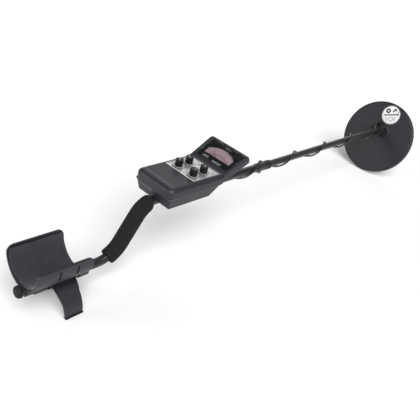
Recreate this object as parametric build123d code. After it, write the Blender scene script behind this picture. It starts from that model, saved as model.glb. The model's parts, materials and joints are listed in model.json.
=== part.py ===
from build123d import *
import math
import os

# Hand-held metal detector on an S-shaped stem, in millimetres.
# It is drawn in the stem's own frame: X forward along the straight front
# stem's axis, Y to the user's left, Z up. At the end it is stood on its
# stand's feet and the coil's rim, with the origin under its middle.

os.makedirs("parts", exist_ok=True)

# ---- driving dimensions ----
upper_od, upper_id = 18.2, 16.14           # S-shaped upper stem
lower_od, lower_id = 16.0, 14.0            # straight lower stem
rear_z = -104.0                            # axis of the rear, arm-rest stretch
mid_angle = 59.0                           # slope of the grip stretch
bend_top_r, bend_low_r = 45.0, 60.0        # bend radii, on the axis
bend_top_x = -262.0                        # where the two upper runs' axes cross
rear_end_x = -514.0
front_end_x = 96.0                         # front end of the upper stem
tip_x = 600.0                              # front end of the lower tube
slide_travel = 180.0
grip_od = 32.0

case_half_w, head_half_w = 49.0, 51.0      # bottom shell at the seam, top shell
head_top_half_w = 56.0                     # display head at its upper end
head_corner_r, head_edge_r = 7.0, 3.0
case_wall = 2.5
seam_z, floor_z, panel_z = 29.0, 5.0, 48.3
face_low = (-104.6, 48.3)                  # display face, lower and upper edge (x, z)
face_high = (-43.2, 77.3)

knob_x, knob_y = (-165.0, -137.0), (21.0, -21.0)
knob_d, knob_h = 14.0, 14.0

cup_r, cup_wall, cup_z = 48.5, 3.0, -48.0  # arm cup's outer radius, wall and centre height
cup_x0, cup_x1, cup_rim_z = -513.0, -403.0, -40.0
pad_t = 3.0

stand_r, stand_wall, stand_z = 50.0, 3.4, -153.0
stand_front_x, stand_top_x, stand_foot_x = -418.0, -464.0, -452.0
foot_low_z, foot_h = -159.0, 3.4            # ground under the stand, rubber strip's height
foot_sole = 1.6                             # rubber under the end of a leg

coil_r = 105.0
hinge_x = 630.0
hinge_w, hinge_u = 23.3, 17.0              # hinge above, and forward of, the coil's centre
coil_lean = 70.9                           # coil's plane, from the stem's axis
coil_top, coil_seam, coil_base = 6.0, -5.0, -8.0
ear_in, ear_t, ear_r = 9.2, 4.0, 10.5

cable_d = 4.5
wrap_pitch = 133.0                         # one turn of cable along the stem
wrap_r = 12.1                              # cable's axis from the stem's axis
wrap_phase_x = 74.0                        # a place where the cable is on top
wrap_steps = 12                            # route points for each turn


# ---- helpers ----
def bar_x(x0, x1, r_out, r_in=0.0, y=0.0, z=0.0):
    body = Cylinder(r_out, x1 - x0)
    if r_in > 0:
        body -= Cylinder(r_in, x1 - x0)
    return Pos((x0 + x1) / 2, y, z) * Rot(0, 90, 0) * body


def bar_y(y0, y1, r_out, r_in=0.0, x=0.0, z=0.0):
    body = Cylinder(r_out, y1 - y0)
    if r_in > 0:
        body -= Cylinder(r_in, y1 - y0)
    return Pos(x, (y0 + y1) / 2, z) * Rot(90, 0, 0) * body


def bar_z(z0, z1, r_out, r_in=0.0, x=0.0, y=0.0):
    body = Cylinder(r_out, z1 - z0)
    if r_in > 0:
        body -= Cylinder(r_in, z1 - z0)
    return Pos(x, y, (z0 + z1) / 2) * body


def block(x0, x1, y0, y1, z0, z1):
    return Pos((x0 + x1) / 2, (y0 + y1) / 2, (z0 + z1) / 2) * Box(x1 - x0, y1 - y0, z1 - z0)


def side_prism(points, half_w, rounds=()):
    """Side outline (x, z) made half_w wide each way; rounds pairs a corner with its radius."""
    face = make_face(Polyline(*points, close=True))
    for corner, radius in rounds:
        near = face.vertices().sort_by_distance(Vector(*points[corner]))[0]
        face = fillet(near, radius)
    return extrude(Plane.XZ * face, amount=half_w, both=True)


def hexagon_z(across, z0, z1, x=0.0, y=0.0):
    outline = RegularPolygon(across / 2, 6, major_radius=False)
    return Pos(x, y, z0) * extrude(outline, amount=z1 - z0)


def group(shapes):
    """Separate solids kept together as one node."""
    return Compound(children=[solid for shape in shapes for solid in shape.solids()])


# ---- frames of the tilted pieces ----
face_tilt = math.degrees(math.atan2(face_high[1] - face_low[1], face_high[0] - face_low[0]))
face_mid = ((face_low[0] + face_high[0]) / 2, (face_low[1] + face_high[1]) / 2)
on_face = Pos(face_mid[0], 0, face_mid[1]) * Rot(0, -face_tilt, 0)

lean = math.radians(coil_lean)
coil_x = hinge_x + hinge_w * math.sin(lean) - hinge_u * math.cos(lean)
coil_z = -hinge_w * math.cos(lean) - hinge_u * math.sin(lean)
on_coil = Pos(coil_x, 0, coil_z) * Rot(0, -coil_lean, 0)


def coil_point(u, v, w):
    """A point given on the coil: u forward, v left, w above its middle plane."""
    return (coil_x + u * math.cos(lean) - w * math.sin(lean), v,
            coil_z + u * math.sin(lean) + w * math.cos(lean))


# ---- S-shaped stem ----
mid = math.radians(mid_angle)
bend_low_x = bend_top_x + rear_z / math.tan(mid)


def stem_path(x_front, x_rear):
    corners = [(x_front, 0, 0), (bend_top_x, 0, 0), (bend_low_x, 0, rear_z), (x_rear, 0, rear_z)]
    return FilletPolyline(*corners, radius=[bend_top_r, bend_low_r])


def sweep_round(path, radius):
    start = Plane(origin=path @ 0, z_dir=path % 0)
    return sweep(start * Circle(radius), path=path)


def upper_stem():
    path = stem_path(front_end_x, rear_end_x)
    tube = sweep_round(path, upper_od / 2) - sweep_round(path, upper_id / 2)
    for x in case_bolt_x:
        tube -= bar_z(-20, 20, 2.15, x=x)
    for x in cup_bolt_x:
        tube -= bar_z(rear_z - 20, rear_z + 20, 2.6, x=x)
    tube -= bar_z(-20, 0, button_r + 0.15, x=button_x)
    return tube


def grip_foam():
    """Foam sleeve on the two bends, from under the case to the arm rest."""
    path = stem_path(-60, -470)
    sleeve = sweep_round(path, grip_od / 2) - sweep_round(path, upper_od / 2 + 0.05)
    keep_front = block(-400, grip_x1, -30, 30, -140, 40)
    rear_cut = Pos(grip_low[0], 0, grip_low[1]) * Rot(0, -grip_low[2], 0) * block(-80, 0, -40, 40, -60, 60)
    return (sleeve & keep_front) - rear_cut


grip_x1 = -249.5
grip_low = (-336.0, -100.0, 28.0)           # lower end of the foam: x, z and its slope


def stem_end_cap():
    cap = bar_x(rear_end_x - 4, rear_end_x + 22, upper_id / 2 - 0.1, z=rear_z)
    dome = bar_x(rear_end_x - 8, rear_end_x - 0.1, 11.4, z=rear_z)
    dome = fillet(dome.edges().group_by(Axis.X)[0], 5.5)
    return cap + dome


# ---- arm cup, pad and stand ----
cup_bolt_x = (-426.0, -455.0)
keel_r = 11.8
strap_slot_x = (-434.0, -469.0)


def cup_section(outer, inner, rim):
    """U-shaped ring between two radii, up to the rim height."""
    ring = bar_x(cup_x0, cup_x1, outer, inner, z=cup_z)
    ring -= block(cup_x0 - 1, cup_x1 + 1, -80, 80, cup_z, 60)
    for side in (1, -1):
        y0, y1 = sorted((side * inner, side * outer))
        ring += block(cup_x0, cup_x1, y0, y1, cup_z, rim)
    return ring


def arm_cup():
    cup = cup_section(cup_r, cup_r - cup_wall, cup_rim_z)
    top_edges = cup.edges().filter_by(Axis.Y).group_by(Axis.Z)[-1]
    cup = fillet(top_edges, 13)
    for side in (1, -1):
        cup += bar_x(cup_x0 + 14, cup_x1 - 14, 2.4, y=side * (cup_r - 1.2), z=cup_rim_z - 2.4)
        for x in strap_slot_x:
            cup -= Pos(x, side * cup_r, cup_z - 10) * Box(3.6, 16, 20)
    keel = bar_x(cup_x0 + 5, cup_x1 + 20, keel_r, z=rear_z)
    for x in (cup_x0 + 32, cup_x1 + 9):
        lobe = bar_x(x - 11, x + 11, keel_r + 2.2, z=rear_z)
        keel += fillet(lobe.edges().filter_by(GeomType.CIRCLE), 1.9)
    keel -= bar_x(cup_x0 - 5, cup_x1 + 30, cup_r - cup_wall, z=cup_z)
    stem_bore = bar_x(cup_x0 - 5, cup_x1 + 30, upper_od / 2 + 0.05, z=rear_z)
    cup, keel = cup - stem_bore, keel - stem_bore
    for x in cup_bolt_x:
        cup -= bar_z(rear_z - 30, cup_z, 2.6, x=x)
        keel -= bar_z(rear_z - 30, cup_z, 2.6, x=x)
    return cup + keel


def arm_cup_pad():
    pad = cup_section(cup_r - cup_wall - 0.1, cup_r - cup_wall - pad_t, cup_rim_z - 5)
    pad &= block(cup_x0 + 3, cup_x1 - 3, -60, 60, -200, 0)
    for x in cup_bolt_x:
        pad -= bar_z(-110, -70, 6.0, x=x)
    return pad


def cup_bolt(x):
    floor = cup_z - cup_r + cup_wall
    head = bar_z(floor + 0.4, floor + 2.8, 5.0, x=x)
    return head + bar_z(saddle_low - 6, floor + 0.4, 2.5, x=x)


saddle_low = rear_z - keel_r - 3.0


def cup_nut(x):
    return hexagon_z(8.5, saddle_low - 4.1, saddle_low - 0.1, x=x) - bar_z(-140, -90, 2.5, x=x)


def stand_outline():
    """The legs' side outline: upright in front, tapering behind towards the foot."""
    low = foot_low_z - 8
    return [(stand_front_x + 7, -98), (stand_front_x, -118), (stand_front_x, low),
            (stand_foot_x, low), (stand_foot_x - 4, -132), (stand_top_x, -98)]


def stand():
    x0, x1 = stand_top_x - 2, stand_front_x + 8
    arch = bar_x(x0, x1, stand_r, stand_r - stand_wall, z=stand_z)
    arch -= block(x0 - 1, x1 + 1, -80, 80, -260, stand_z)
    for side in (1, -1):
        y0, y1 = sorted((side * (stand_r - stand_wall), side * stand_r))
        arch += block(x0, x1, y0, y1, foot_low_z - 8, stand_z)
    arch &= side_prism(stand_outline(), 60)
    rib = bar_x(stand_front_x - 3, stand_front_x, stand_r - 0.5, stand_r - 7, z=stand_z)
    arch += rib - block(x0 - 1, x1 + 1, -80, 80, -260, stand_z)
    saddle = bar_x(stand_top_x, stand_front_x + 6, keel_r + 3.0, z=rear_z)
    saddle -= block(-600, -300, -60, 60, rear_z + 1, rear_z + 60)
    body = arch + saddle
    body -= bar_x(-600, -300, keel_r + 2.35, z=rear_z)
    for x in cup_bolt_x:
        body -= bar_z(rear_z - 60, rear_z, 2.6, x=x)
    return body


# ---- control case ----
case_rear_x = -249.0
case_corner_r, case_edge_r = 13.0, 9.0      # top shell's upright rear corners and its top edges
head_start_x = -108.0                       # where the display head's section begins
slope_low, slope_high = (-110.0, seam_z), (-85.0, 41.0)    # the head's underside, in front
head_tip, head_end = (-41.9, 77.9), (-35.3, 66.6)
head_outline = [slope_low, (head_start_x, panel_z), face_low, head_tip, head_end, slope_high]
jack_x, jack_z = -228.0, 17.0
speaker_x, speaker_y, speaker_r = -190.0, 26.0, 16.0
case_bolt_x = (-150.0, -215.0)
screw_top = seam_z + 9.0
case_screws_at = [(-237.5, 38.5), (-237.5, -38.5), (-128.0, 38.5), (-128.0, -38.5)]
door_x0, door_x1, door_y0, door_y1 = -234.0, -140.0, -44.3, -14.5
gland_at = (-88.0, 39.5)                    # where the coil's lead leaves the case
gland_lean = math.degrees(math.atan2(12, 25))


def case_block(inset, low):
    """Rear part of the top shell, rounded at its corners and top edges, drawn in by an inset."""
    half_w = head_half_w - inset
    body = block(case_rear_x + inset, head_start_x + 2, -half_w, half_w, low, panel_z - inset)
    corners = body.edges().filter_by(Axis.Z).group_by(Axis.X)[0]
    body = fillet(corners, case_corner_r - inset)
    top = body.faces().sort_by(Axis.Z)[-1]
    around = [e for e in top.edges() if e.center().X < head_start_x + 1]
    return fillet(around, case_edge_r - inset)


def case_head():
    """Display head, leaning back over the front of the case and spreading towards its top."""
    wide = side_prism(head_outline, head_top_half_w + 1, [(2, 6.0), (5, 12.0)])
    high, low, hinge_line = 35.2, -90.0, -34.0      # up the face: upper end, well below it, its lower edge
    spread = (head_top_half_w - head_half_w) / (high - hinge_line)
    low_half = head_half_w - spread * (hinge_line - low)
    plan = make_face(Polyline((low, -low_half), (high, -head_top_half_w), (high, head_top_half_w),
                              (low, low_half), close=True))
    plan = fillet([v for v in plan.vertices() if v.X > high - 0.1], head_corner_r)
    head = on_face.inverse() * wide & Pos(0, 0, -70) * extrude(plan, amount=80)
    front_rim = [e for e in head.edges() if e.center().Z > -0.05 and e.center().X > hinge_line + 4]
    head = fillet(front_rim, head_edge_r)
    back_rim = [e for e in head.edges() if -17 < e.center().Z < -11.5 and e.center().X > 0]
    return on_face * fillet(back_rim, head_edge_r)


def case_outer():
    under_slope = side_prism([slope_low, slope_high, (slope_high[0], 20), (slope_low[0], 20)], 60)
    return case_block(0, seam_z) + case_head() - under_slope


def case_top():
    outer = case_outer()
    shell = outer - case_block(case_wall, seam_z + 3)
    shell -= block(case_rear_x + 4.5, -115, -46.5, 46.5, seam_z - 1, seam_z + 4)
    head_in = [(head_start_x - 6, seam_z + 3), (head_start_x - 6, panel_z - case_wall),
               (-105.0, panel_z - case_wall), (-45.5, 73.5), (-40.0, 66.5), (-86.1, 43.3),
               (-109.5, seam_z + 3)]
    shell -= side_prism(head_in, head_half_w - case_wall)
    shell -= block(-182.4, -109.6, -41.4, 41.4, panel_z - 0.9, panel_z + 5)
    shell -= on_face * block(-26, 30.5, -46.6, 46.6, -1.5, 6)
    shell -= on_face * block(-23, 27.5, -43, 43, -6, 2)
    for x, y in case_screws_at:
        shell += bar_z(seam_z, 46.4, 3.6, x=x, y=y)
        shell -= bar_z(seam_z - 1, screw_top, 1.5, x=x, y=y)
    for x in knob_x:
        for y in knob_y:
            shell -= bar_z(40, 60, 3.6, x=x, y=y)
    shell -= Pos(gland_at[0], 0, gland_at[1]) * Rot(0, -gland_lean, 0) * Cylinder(4.05, 16)
    return shell


def case_bottom():
    """Lower shell: sides lean in towards the floor, and the stem lies in its channel."""
    seam = Pos(-178.5, 0, seam_z) * RectangleRounded(137, 2 * case_half_w, 4)
    foot = Pos(-177.5, 0, floor_z) * RectangleRounded(127, 2 * (case_half_w - 4.5), 3)
    bead = extrude(Pos(-178.5, 0, seam_z - 1.8) * RectangleRounded(138.4, 2 * case_half_w + 1.4, 4.7), 1.8)
    outer = loft([foot, seam]) + bead
    slope = [(-133, floor_z), (-110, seam_z), (-90, seam_z + 1), (-90, floor_z - 1), (-133, floor_z - 1)]
    outer -= side_prism(slope, 70)
    seam_in = Pos(-178.5, 0, seam_z + 0.1) * RectangleRounded(132, 2 * (case_half_w - case_wall), 2)
    foot_in = (Pos(-177.5, 0, floor_z + case_wall)
               * RectangleRounded(123, 2 * (case_half_w - 4.2 - case_wall), 2))
    cavity = loft([foot_in, seam_in])
    slope_in = [(x - 3.4, z) for x, z in slope]
    slope_in[2:4] = [(-90, seam_z + 1), (-90, floor_z - 1)]
    cavity -= side_prism(slope_in, 70)
    shell = outer - cavity
    channel = bar_x(-242, -131, upper_od / 2 + 2.2) & outer
    shell += channel
    for x in case_bolt_x:
        shell += bar_z(9, 19, 5.0, x=x)
    shell -= bar_x(-260, -100, upper_od / 2 + 0.05)
    for x in case_bolt_x:
        shell -= bar_z(0, 17.5, 2.0, x=x)
    for x, y in case_screws_at:
        shell += bar_z(floor_z + 1, seam_z, 3.6, x=x, y=y) & outer
        shell -= bar_z(0, seam_z + 1, 1.7, x=x, y=y)
        shell -= bar_z(0, screw_seat(x), 3.3, x=x, y=y)
    shell -= block(door_x0, door_x1, door_y0 - 8, door_y1, floor_z - 1, floor_z + 2.1)
    shell -= block(door_x0 + 2, door_x1 - 1.5, -42.3, door_y1 - 0.8, floor_z, floor_z + 4)
    for i in range(-2, 3):
        for j in range(-2, 3):
            if abs(i) + abs(j) < 4:
                shell -= bar_z(0, 12, 1.3, x=speaker_x + 6 * i, y=speaker_y + 6 * j)
    shell -= bar_y(30, 60, 5.05, x=jack_x, z=jack_z)
    return shell


def screw_seat(x):
    """Depth of a case screw's counterbore: the front pair start on the slope."""
    return floor_z + 2.6 if x < -200 else floor_z + 9.0


def case_screw(x, y):
    seat = screw_seat(x)
    return bar_z(seat - 2.2, seat, 3.0, x=x, y=y) + bar_z(seat, screw_top, 1.5, x=x, y=y)


def case_bolt(x):
    low = -upper_od / 2
    head = bar_z(low - 3.0, low - 0.1, 4.2, x=x)
    return head + bar_z(low - 0.1, 17.0, 2.0, x=x)


def battery_door():
    plate = block(door_x0 + 0.3, door_x1 - 0.3, door_y0, door_y1 - 0.3, floor_z, floor_z + 1.9)
    for k in range(5):
        plate -= block(-200, -175, door_y0 + 5 + 3 * k, door_y0 + 6.2 + 3 * k, floor_z - 1, floor_z + 0.5)
    return plate


def control_panel():
    sheet = block(-182, -110, -41, 41, panel_z - 0.85, panel_z - 0.05)
    for x in knob_x:
        for y in knob_y:
            sheet -= bar_z(40, 60, 3.6, x=x, y=y)
    return sheet


# ---- controls ----
def knob(x, y):
    low = panel_z + 0.4
    body = bar_z(low, low + knob_h, knob_d / 2, x=x, y=y)
    body = chamfer(body.edges().group_by(Axis.Z)[-1], 0.8)
    body -= bar_z(low - 1, low + 3.4, 6.0, x=x, y=y)
    return body - bar_z(low, low + knob_h - 2.5, 3.0, x=x, y=y)


def knob_shaft(x, y):
    return bar_z(41.5, panel_z + 0.4 + knob_h - 3.0, 3.0, x=x, y=y)


def potentiometer(x, y):
    can = bar_z(37.0, 45.0, 8.2, x=x, y=y)
    tags = block(x - 12.5, x - 7.5, y - 5, y + 5, 38.0, 39.2)
    bush = bar_z(45.0, panel_z + 2.9, 3.5, x=x, y=y)
    return can + tags + bush - bar_z(41.0, 60, 3.06, x=x, y=y)


def pot_nut(x, y):
    return hexagon_z(9.6, panel_z, panel_z + 2.2, x=x, y=y) - bar_z(40, 60, 3.5, x=x, y=y)


# ---- meter in the display head, on the tilted face ----
pivot_u = -14.5                              # needle's pivot, down the face from its middle


def meter_window():
    pane = on_face * block(-25.7, 30.2, -46.3, 46.3, -1.45, -0.05)
    return pane


def meter_mask():
    plate = block(-22.7, 27.2, -42.7, 42.7, -3.2, -1.55)
    arc = Pos(-35.5, 0, -5) * extrude(Circle(55), amount=8)
    arc &= block(-9, 40, -36, 36, -6, 6)
    return on_face * (plate - arc)


def meter_dial():
    return on_face * (block(-20, 22, -37.5, 37.5, -6.4, -5.6) - Pos(pivot_u, 0, -6) * Cylinder(1.8, 4))


def meter_housing():
    tub = block(-22, 24, -39, 39, -10.4, -3.3) - block(-20.8, 22.8, -37.8, 37.8, -9.4, -2)
    return on_face * tub


def meter_movement():
    magnet = block(-20, 8, -14, 14, -9.3, -7.9)
    magnet += block(-18, 2, 8, 14, -8, -6.6) + block(-18, 2, -14, -8, -8, -6.6)
    coil_former = Pos(pivot_u, 0, -7.4) * Cylinder(4.5, 1.4)
    return on_face * (magnet + coil_former - Pos(pivot_u, 0, -6) * Cylinder(0.85, 5))


def meter_needle():
    hub = Pos(0, 0, -4.4) * Cylinder(2.6, 1.2)
    pointer = block(0, 30, -0.45, 0.45, -4.6, -4.2)
    pin = Pos(0, 0, -6.0) * Cylinder(0.8, 3.0)
    return on_face * (Pos(pivot_u, 0, 0) * Rot(0, 0, needle_rest) * (hub + pointer + pin))


needle_rest = 42.0                           # at zero, to the left of the scale's middle


# ---- electronics inside the case ----
def circuit_board():
    board = block(-230, -134, -42, 42, 31.0, 32.6)
    for x, y, dx, dy, h in [(-205, 10, 20, 8, 3.4), (-205, -14, 20, 8, 3.4), (-150, 0, 8, 20, 3.0),
                            (-180, 28, 9, 9, 4.0), (-218, 28, 7, 7, 8.0), (-218, -30, 7, 7, 8.0)]:
        board += block(x - dx / 2, x + dx / 2, y - dy / 2, y + dy / 2, 32.6, 32.6 + h)
    return board


def speaker():
    z0 = floor_z + case_wall + 0.1
    basket = bar_z(z0, z0 + 3, speaker_r, speaker_r - 2, x=speaker_x, y=speaker_y)
    cone = Pos(speaker_x, speaker_y, z0 + 4.0) * Cone(speaker_r - 1.5, 8.0, 4.0)
    return basket + cone + bar_z(z0 + 5.9, z0 + 12, 9.0, x=speaker_x, y=speaker_y)


battery_x = (-233.5, -184.0)


def battery(x0):
    body = fillet(block(x0, x0 + 46, -41.0, -14.8, 9.3, 26.3).edges().filter_by(Axis.X), 2.5)
    return body + bar_x(x0 + 46, x0 + 48.2, 3.2, y=-34, z=18) + bar_x(x0 + 46, x0 + 48.2, 4.0, y=-21.5, z=18)


def battery_tray():
    tray = block(-233.7, -135.2, -41.8, -13.2, 26.5, 28.2)
    tray += block(-233.7, -135.2, -14.3, -13.0, 9.0, 28.2)
    return tray


def headphone_jack():
    wall_y = case_half_w - 0.9
    body = bar_y(26.5, wall_y, 5.0, x=jack_x, z=jack_z)
    ring = bar_y(wall_y, wall_y + 3.4, 6.6, x=jack_x, z=jack_z)
    ring = chamfer(ring.edges().group_by(Axis.Y)[-1], 0.8)
    return body + ring - bar_y(wall_y + 3.4 - jack_depth, wall_y + 6, jack_bore_r, x=jack_x, z=jack_z)


jack_bore_r, jack_depth = 3.2, 16.0


# ---- joint between the two stems ----
button_x, button_r = 82.0, 3.0
sleeve_r = 10.3


def stem_sleeve():
    body = bar_x(68.0, front_end_x, sleeve_r, upper_od / 2 + 0.02)
    body = body + bar_z(-sleeve_r - 1.6, -8.0, 6.2, x=button_x) - bar_x(60, 100, upper_od / 2 + 0.02)
    body -= bar_z(-30, 0, button_r + 0.15, x=button_x)
    return body - bar_z(-30, -upper_od / 2 - 1.2, 5.0, x=button_x)


def stem_button():
    cap = bar_z(-sleeve_r - 4.8, -sleeve_r - 2.6, 4.6, x=button_x)
    return cap + bar_z(-sleeve_r - 2.6, -9.6, button_r, x=button_x)


def button_spring():
    return bar_z(-sleeve_r - 2.5, -upper_od / 2 - 1.3, 4.3, 3.4, x=button_x)


def lock_collar():
    body = bar_x(front_end_x + 0.4, 114.0, sleeve_r + 0.2, 9.35)
    for k in range(18):
        body -= Rot(20 * k, 0, 0) * Pos(105, 0, sleeve_r + 0.7) * Rot(0, 90, 0) * Cylinder(0.9, 14)
    return body


def lock_collet():
    ring = bar_x(front_end_x + 0.5, 113.4, 9.2, lower_od / 2 + 0.06)
    for k in range(4):
        ring -= Rot(90 * k + 45, 0, 0) * block(100, 115, -0.6, 0.6, 5, 12)
    return ring


# ---- lower stem ----
lower_start_x = 52.0


def lower_stem():
    tube = bar_x(lower_start_x, tip_x, lower_od / 2, lower_id / 2)
    keyway = block(button_x - 0.1, button_x + slide_travel + 0.1, -button_r - 0.3, button_r + 0.3, -12, 0)
    for x in (button_x, button_x + slide_travel):
        keyway += bar_z(-12, 0, button_r + 0.3, x=x)
    return tube - keyway


def stem_tip():
    plug = bar_x(tip_x - 40, tip_x, lower_id / 2 - 0.05) + bar_x(tip_x + 0.05, tip_x + 5, lower_od / 2 + 0.6)
    tongue = block(tip_x + 3, hinge_x, -8, 8, -7.6, 7.6) + bar_y(-8, 8, 9.0, x=hinge_x)
    body = plug + bar_x(tip_x - 0.5, tip_x + 2, 6.0) + tongue
    return body - bar_y(-20, 20, 4.06, x=hinge_x)


def hinge_washer(side):
    y0, y1 = sorted((side * 8.05, side * 9.1))
    return bar_y(y0, y1, 8.4, 4.3, x=hinge_x)


# ---- search coil ----
def coil_top_shell():
    disc = Pos(0, 0, (coil_top + coil_seam) / 2) * Cylinder(coil_r, coil_top - coil_seam)
    disc = fillet(disc.edges().group_by(Axis.Z)[-1], 5.5)
    disc -= Pos(0, 0, (coil_seam + 3.4) / 2) * Cylinder(coil_r - 3, 3.4 - coil_seam)
    hub = Pos(hinge_u - 4, 0, coil_top + 1.0) * Cylinder(30, 2.0)
    disc += chamfer(hub.edges().group_by(Axis.Z)[-1], 1.9)
    for side in (1, -1):
        y0, y1 = sorted((side * ear_in, side * (ear_in + ear_t)))
        ear = block(hinge_u - 15, hinge_u + 15, y0, y1, coil_top - 1, coil_top + 7)
        web = make_face(Polyline((hinge_u - 15, coil_top + 6), (hinge_u + 15, coil_top + 6),
                                 (hinge_u + ear_r, hinge_w), (hinge_u - ear_r, hinge_w), close=True))
        ear += Pos(0, (y0 + y1) / 2, 0) * extrude(Plane.XZ * web, amount=ear_t / 2, both=True)
        disc += ear + bar_y(y0, y1, ear_r, x=hinge_u, z=hinge_w)
    disc -= bar_y(-30, 30, 4.05, x=hinge_u, z=hinge_w)
    disc -= Pos(gland_u, gland_v, coil_top) * Cylinder(3.6, 12)
    return on_coil * disc


gland_u, gland_v, gland_h = 38.0, 10.0, 15.0


def coil_cover():
    disc = Pos(0, 0, (coil_seam + coil_base) / 2) * Cylinder(coil_r, coil_seam - coil_base - 0.02)
    return on_coil * fillet(disc.edges().group_by(Axis.Z)[0], 2.0)


def winding(r_mean, width, height):
    ring = Cylinder(r_mean + width / 2, height) - Cylinder(r_mean - width / 2, height)
    return on_coil * Pos(0, 0, -1.0) * ring


def coil_gland():
    stub = Pos(gland_u, gland_v, coil_top) * Cylinder(3.55, 5.0)
    taper = Pos(gland_u, gland_v, coil_top + 4.0 + (gland_h - 4.0) / 2) * Cone(5.2, 2.8, gland_h - 4.0)
    base = Pos(gland_u, gland_v, coil_top + 3.05) * Cylinder(6.0, 2.0)
    return on_coil * (stub + base + taper)


def coil_label():
    return on_coil * Pos(72, -8, coil_top + 0.2) * Cylinder(27, 0.3)


def hinge_bolt():
    head_y = -(ear_in + ear_t + 0.1)
    head = bar_y(head_y - 5, head_y, 8.0, x=hinge_x)
    return head + bar_y(head_y, 27, 4.0, x=hinge_x) - bar_y(head_y - 6, head_y - 3.5, 3.0, x=hinge_x)


def wing_nut():
    y0 = ear_in + ear_t + 0.1
    nut = bar_y(y0, y0 + 8, 7.5, x=hinge_x)
    nut += Pos(hinge_x, y0 + 7, 0) * Rot(0, 20, 0) * Box(26, 9, 3.2)
    return nut - bar_y(0, 40, 4.0, x=hinge_x)


# ---- cable from the case to the coil ----
def wrap_point(x):
    """On the stem's surface, and a little further out over the sleeve and collar."""
    turn = 2 * math.pi * (x - wrap_phase_x) / wrap_pitch
    radius = wrap_r + (1.3 if 56 < x < 127 else 0.0)
    return (x, radius * math.sin(turn), radius * math.cos(turn))


def cable_gland():
    body = Pos(0, 0, -0.4) * Cylinder(4.0, 5) + Pos(0, 0, -1.9) * Cylinder(5.6, 3.0)
    body += Pos(0, 0, -3.4 - gland_len / 2) * Cone(2.7, 4.3, gland_len)
    return Pos(gland_at[0], 0, gland_at[1]) * Rot(0, -gland_lean, 0) * body


def cord(points):
    """Round cable through the points: straight runs joined by tangent arcs."""
    radii = []
    for a, b, c in zip(points, points[1:], points[2:]):
        before, after = Vector(*b) - Vector(*a), Vector(*c) - Vector(*b)
        half_turn = math.radians(before.get_angle(after)) / 2
        radii.append(0.45 * min(before.length, after.length) / math.tan(half_turn))
    path = FilletPolyline(*points, radius=radii)
    solid = sweep_round(path, cable_d / 2)
    expected = math.pi * cable_d ** 2 / 4 * path.length
    print("cable length %.0f, smallest radius %.1f, volume %.4f of expected"
          % (path.length, min(radii), solid.volume / expected))
    return solid


def coil_cable():
    lean_x, lean_z = math.sin(math.radians(gland_lean)), -math.cos(math.radians(gland_lean))
    out = 3.42 + gland_len
    start = (gland_at[0] + out * lean_x, 0, gland_at[1] + out * lean_z)
    lead_in = [start, (start[0] + 6 * lean_x, 0, start[2] + 6 * lean_z), (-73.4, -0.3, 16.2),
               (-65.3, 0.0, 13.3), (-56.6, 1.4, 12.4)]
    count = int((wrap_end_x + 48.0) / wrap_step)
    wraps = [wrap_point(wrap_end_x - wrap_step * (count - k)) for k in range(count + 1)]
    return cord(lead_in + wraps)


gland_len = 10.6
wrap_end_x = wrap_phase_x + 4 * wrap_pitch
wrap_step = wrap_pitch / wrap_steps


def cable_tail():
    gland_top = coil_point(gland_u, gland_v, coil_top + gland_h + 0.02)
    above = coil_point(gland_u, gland_v, coil_top + gland_h + 11)
    before, start = wrap_point(wrap_end_x - wrap_step), wrap_point(wrap_end_x)
    onward = tuple(b + 0.9 * (b - a) for a, b in zip(before, start))
    return cord([start, onward, above, gland_top])


def stand_foot(side):
    """Rubber strip over the end of a leg, flat on the ground."""
    y0, y1 = sorted((side * (stand_r - stand_wall - 1.6), side * (stand_r + 1.4)))
    return block(stand_foot_x - 0.8, stand_front_x + 0.8, y0, y1, foot_low_z - 20, foot_low_z + foot_h)


# ---- assembly ----
knob_spots = [(x, y) for x in knob_x for y in knob_y]
nodes = {
    "upper_stem": upper_stem(),
    "grip_foam": grip_foam(),
    "stem_end_cap": stem_end_cap(),
    "arm_cup": arm_cup(),
    "arm_cup_pad": arm_cup_pad(),
    "cup_bolts": group([cup_bolt(x) for x in cup_bolt_x]),
    "cup_nuts": group([cup_nut(x) for x in cup_bolt_x]),
    "case_top": case_top(),
    "case_bottom": case_bottom(),
    "case_screws": group([case_screw(x, y) for x, y in case_screws_at]),
    "case_bolts": group([case_bolt(x) for x in case_bolt_x]),
    "battery_door": battery_door(),
    "control_panel": control_panel(),
    "potentiometers": group([potentiometer(x, y) for x, y in knob_spots]),
    "pot_nuts": group([pot_nut(x, y) for x, y in knob_spots]),
    "meter_window": meter_window(),
    "meter_mask": meter_mask(),
    "meter_dial": meter_dial(),
    "meter_housing": meter_housing(),
    "meter_movement": meter_movement(),
    "meter_needle": meter_needle(),
    "circuit_board": circuit_board(),
    "speaker": speaker(),
    "batteries": group([battery(x) for x in battery_x]),
    "battery_tray": battery_tray(),
    "headphone_jack": headphone_jack(),
    "cable_gland": cable_gland(),
    "stem_sleeve": stem_sleeve(),
    "stem_button": stem_button(),
    "button_spring": button_spring(),
    "lock_collar": lock_collar(),
    "lock_collet": lock_collet(),
    "lower_stem": lower_stem(),
    "stem_tip": stem_tip(),
    "hinge_washers": group([hinge_washer(side) for side in (1, -1)]),
    "coil_top_shell": coil_top_shell(),
    "coil_cover": coil_cover(),
    "transmit_winding": winding(90.0, 9.0, 5.0),
    "receive_winding": winding(45.0, 8.0, 4.0),
    "coil_gland": coil_gland(),
    "coil_label": coil_label(),
    "hinge_bolt": hinge_bolt(),
    "wing_nut": wing_nut(),
    "coil_cable": coil_cable(),
    "cable_tail": cable_tail(),
}
for number, (x, y) in enumerate(knob_spots, 1):
    nodes["knob_%d" % number] = knob(x, y)
    nodes["knob_shaft_%d" % number] = knob_shaft(x, y)

# The whole is pitched until the feet's ground also touches the coil's lowest rim point.
stand_mid_x = (stand_front_x + stand_foot_x) / 2


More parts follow.
